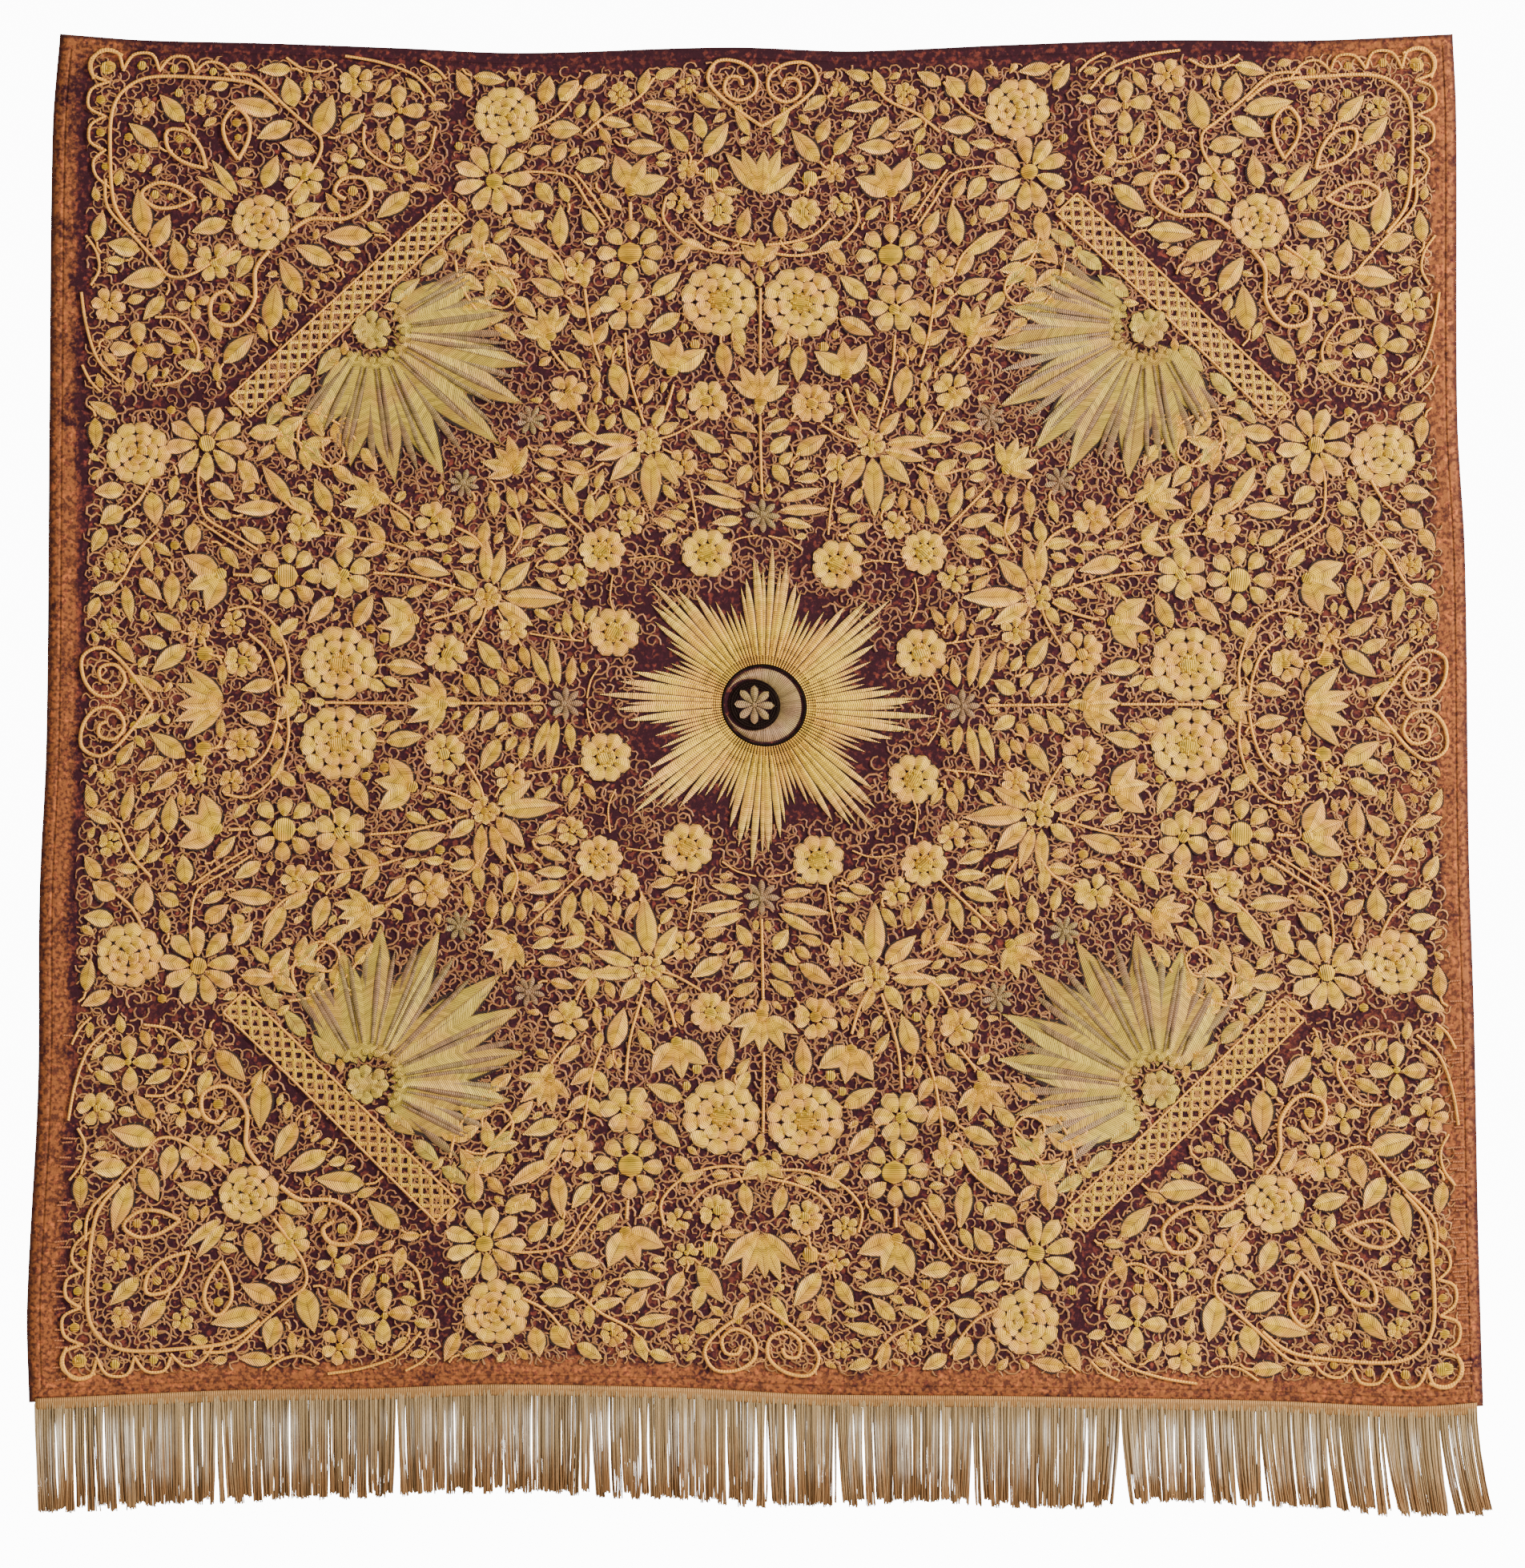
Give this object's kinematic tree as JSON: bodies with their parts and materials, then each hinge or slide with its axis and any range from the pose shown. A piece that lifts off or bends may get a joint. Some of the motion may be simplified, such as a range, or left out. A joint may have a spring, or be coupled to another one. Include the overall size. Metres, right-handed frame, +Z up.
{
  "type": "embroidered wall hanging",
  "caption": "Square velvet wall hanging with raised gold and silver thread embroidery round a sunburst, and a metal-thread fringe along its lower edge, hung by its top edge.",
  "frame": {"origin": "the middle of the top edge, in the cloth's mid-plane", "axes": "+Z up, +X to the viewer's right, and the embroidered front faces -Y"},
  "size_m": [1.0958, 0.0125, 1.1094],
  "materials": {
    "velvet": "worn silk velvet, matt with a soft sheen",
    "gold_thread": "satin gilt metal thread laid over card",
    "silver_thread": "satin silver metal thread, slightly tarnished",
    "fringe_thread": "tarnished metal thread twisted on a brown silk core"
  },
  "bodies": {
    "root": {"velvet_ground": "velvet", "fringe": "fringe_thread", "sunburst": "gold_thread", "crescent": "silver_thread", "centre_star": "silver_thread", "ring_rosette_01": "gold_thread", "ring_rosette_02": "gold_thread", "ring_rosette_03": "gold_thread", "ring_rosette_04": "gold_thread", "ring_rosette_05": "gold_thread", "ring_rosette_06": "gold_thread", "ring_rosette_07": "gold_thread", "ring_rosette_08": "gold_thread", "ring_rosette_09": "gold_thread", "ring_rosette_10": "gold_thread", "ring_rosette_11": "gold_thread", "ring_rosette_12": "gold_thread", "pair_rosette_01": "gold_thread", "pair_rosette_02": "gold_thread", "pair_rosette_03": "gold_thread", "pair_rosette_04": "gold_thread", "pair_rosette_05": "gold_thread", "pair_rosette_06": "gold_thread", "pair_rosette_07": "gold_thread", "pair_rosette_08": "gold_thread", "edge_rose_01": "gold_thread", "edge_rose_02": "gold_thread", "edge_rose_03": "gold_thread", "edge_rose_04": "gold_thread", "edge_rose_05": "gold_thread", "edge_rose_06": "gold_thread", "edge_rose_07": "gold_thread", "edge_rose_08": "gold_thread", "corner_rose_01": "gold_thread", "corner_rose_02": "gold_thread", "corner_rose_03": "gold_thread", "corner_rose_04": "gold_thread", "panel_band_1": "gold_thread", "panel_fan_1": "gold_thread", "panel_band_2": "gold_thread", "panel_fan_2": "gold_thread", "panel_band_3": "gold_thread", "panel_fan_3": "gold_thread", "panel_band_4": "gold_thread", "panel_fan_4": "gold_thread"}
  },
  "joints": []
}
